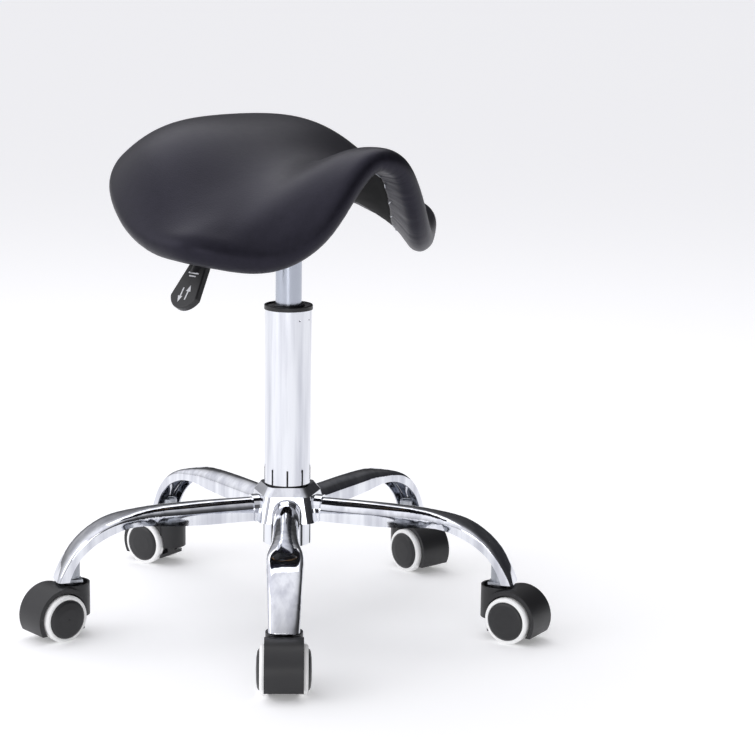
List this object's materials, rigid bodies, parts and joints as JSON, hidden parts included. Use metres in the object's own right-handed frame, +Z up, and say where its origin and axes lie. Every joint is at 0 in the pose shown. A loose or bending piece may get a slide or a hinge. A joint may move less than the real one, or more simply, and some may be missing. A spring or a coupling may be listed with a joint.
{
  "type": "rolling stylist stool",
  "caption": "Backless rolling stool with a saddle seat on a gas lift, lift lever, pressed star base and twin-wheel casters.",
  "frame": {"origin": "on the floor under the column's axis", "axes": "+Z up, -Y the way the sitter faces (the saddle's narrow front), +X the sitter's left; the lift lever points to -X"},
  "size_m": [0.5263, 0.5583, 0.5385],
  "materials": {
    "black_leather": "satin",
    "grey_foam": "matte",
    "plywood": "matte",
    "black_lining": "matte",
    "zinc_steel": "satin",
    "black_steel": "satin",
    "chrome": "polished",
    "satin_steel": "satin",
    "black_plastic": "satin",
    "black_rubber": "matte",
    "white_tyre": "satin"
  },
  "bodies": {
    "base": {"hub": "chrome", "leg_1": "chrome", "leg_2": "chrome", "leg_3": "chrome", "leg_4": "chrome", "leg_5": "chrome", "caster_sockets": "zinc_steel", "caster_stems": "zinc_steel", "outer_tube": "black_steel", "chrome_cover": "chrome", "guide_bush": "black_plastic", "top_collar": "black_plastic", "thrust_bearing": "zinc_steel"},
    "rod": {"piston_rod": "zinc_steel", "rod_bumper": "black_rubber", "rod_clip": "zinc_steel"},
    "seat": {"seat_cover": "black_leather", "seat_foam": "grey_foam", "seat_board": "plywood", "underside_lining": "black_lining", "cover_staples": "zinc_steel", "mount_plate": "black_steel", "mount_bolts": "zinc_steel", "tee_nuts": "zinc_steel", "gas_cylinder": "satin_steel"},
    "lever": {"lever_rod": "black_steel", "lever_paddle": "black_plastic"},
    "pin": {"release_pin": "zinc_steel"},
    "caster_1": {"caster_1_hood": "black_plastic", "caster_1_axle": "zinc_steel"},
    "caster_1_wheels_left": {"caster_1_wheel_left": "black_plastic", "caster_1_tyre_left": "white_tyre"},
    "caster_1_wheels_right": {"caster_1_wheel_right": "black_plastic", "caster_1_tyre_right": "white_tyre"},
    "caster_2": {"caster_2_hood": "black_plastic", "caster_2_axle": "zinc_steel"},
    "caster_2_wheels_left": {"caster_2_wheel_left": "black_plastic", "caster_2_tyre_left": "white_tyre"},
    "caster_2_wheels_right": {"caster_2_wheel_right": "black_plastic", "caster_2_tyre_right": "white_tyre"},
    "caster_3": {"caster_3_hood": "black_plastic", "caster_3_axle": "zinc_steel"},
    "caster_3_wheels_left": {"caster_3_wheel_left": "black_plastic", "caster_3_tyre_left": "white_tyre"},
    "caster_3_wheels_right": {"caster_3_wheel_right": "black_plastic", "caster_3_tyre_right": "white_tyre"},
    "caster_4": {"caster_4_hood": "black_plastic", "caster_4_axle": "zinc_steel"},
    "caster_4_wheels_left": {"caster_4_wheel_left": "black_plastic", "caster_4_tyre_left": "white_tyre"},
    "caster_4_wheels_right": {"caster_4_wheel_right": "black_plastic", "caster_4_tyre_right": "white_tyre"},
    "caster_5": {"caster_5_hood": "black_plastic", "caster_5_axle": "zinc_steel"},
    "caster_5_wheels_left": {"caster_5_wheel_left": "black_plastic", "caster_5_tyre_left": "white_tyre"},
    "caster_5_wheels_right": {"caster_5_wheel_right": "black_plastic", "caster_5_tyre_right": "white_tyre"}
  },
  "joints": [
    {"name": "seat_swivel", "type": "hinge", "parent": "base", "child": "rod", "pos_m": [0, 0, 0.09], "axis": [0, 0, 1], "continuous": true},
    {"name": "seat_lift", "type": "slide", "parent": "rod", "child": "seat", "axis": [0, 0, 1], "range_m": [-0.06, 0.06]},
    {"name": "lever_lift", "type": "hinge", "parent": "seat", "child": "lever", "pos_m": [-0.042, 0, 0.448], "axis": [0, 1, 0], "range_deg": [0, 4.5], "stiffness_Nm_per_rad": 4, "springref_deg": -6.88},
    {"name": "pin_press", "type": "slide", "parent": "seat", "child": "pin", "axis": [0, 0, -1], "range_m": [0, 0.0038], "stiffness_N_per_m": 600, "springref_m": -0.001},
    {"name": "caster_1_swivel", "type": "hinge", "parent": "base", "child": "caster_1", "pos_m": [-0.16933, -0.1664, 0.05], "axis": [0, 0, 1], "continuous": true},
    {"name": "caster_1_roll_left", "type": "hinge", "parent": "caster_1", "child": "caster_1_wheels_left", "pos_m": [-0.18474, -0.18181, 0.025], "axis": [0.7071, -0.7071, 0], "continuous": true},
    {"name": "caster_1_roll_right", "type": "hinge", "parent": "caster_1", "child": "caster_1_wheels_right", "pos_m": [-0.18474, -0.18181, 0.025], "axis": [0.7071, -0.7071, 0], "continuous": true},
    {"name": "caster_2_swivel", "type": "hinge", "parent": "base", "child": "caster_2", "pos_m": [0.10593, -0.21246, 0.05], "axis": [0, 0, 1], "continuous": true},
    {"name": "caster_2_roll_left", "type": "hinge", "parent": "caster_2", "child": "caster_2_wheels_left", "pos_m": [0.1099, -0.23389, 0.025], "axis": [0.9833, 0.1822, 0], "continuous": true},
    {"name": "caster_2_roll_right", "type": "hinge", "parent": "caster_2", "child": "caster_2_wheels_right", "pos_m": [0.1099, -0.23389, 0.025], "axis": [0.9833, 0.1822, 0], "continuous": true},
    {"name": "caster_3_swivel", "type": "hinge", "parent": "base", "child": "caster_3", "pos_m": [0.23479, 0.03509, 0.05], "axis": [0, 0, 1], "continuous": true},
    {"name": "caster_3_roll_left", "type": "hinge", "parent": "caster_3", "child": "caster_3_wheels_left", "pos_m": [0.23225, 0.01344, 0.025], "axis": [0.9932, -0.1167, 0], "continuous": true},
    {"name": "caster_3_roll_right", "type": "hinge", "parent": "caster_3", "child": "caster_3_wheels_right", "pos_m": [0.23225, 0.01344, 0.025], "axis": [0.9932, -0.1167, 0], "continuous": true},
    {"name": "caster_4_swivel", "type": "hinge", "parent": "base", "child": "caster_4", "pos_m": [0.03918, 0.23414, 0.05], "axis": [0, 0, 1], "continuous": true},
    {"name": "caster_4_roll_left", "type": "hinge", "parent": "caster_4", "child": "caster_4_wheels_left", "pos_m": [0.03596, 0.25571, 0.025], "axis": [-0.989, -0.1478, 0], "continuous": true},
    {"name": "caster_4_roll_right", "type": "hinge", "parent": "caster_4", "child": "caster_4_wheels_right", "pos_m": [0.03596, 0.25571, 0.025], "axis": [-0.989, -0.1478, 0], "continuous": true},
    {"name": "caster_5_swivel", "type": "hinge", "parent": "base", "child": "caster_5", "pos_m": [-0.21058, 0.10962, 0.05], "axis": [0, 0, 1], "continuous": true},
    {"name": "caster_5_roll_left", "type": "hinge", "parent": "caster_5", "child": "caster_5_wheels_left", "pos_m": [-0.23226, 0.11186, 0.025], "axis": [-0.1028, -0.9947, 0], "continuous": true},
    {"name": "caster_5_roll_right", "type": "hinge", "parent": "caster_5", "child": "caster_5_wheels_right", "pos_m": [-0.23226, 0.11186, 0.025], "axis": [-0.1028, -0.9947, 0], "continuous": true}
  ],
  "couplings": [
    {"joint": "pin_press", "follows": "lever_lift", "m_per_rad": 0.047}
  ]
}
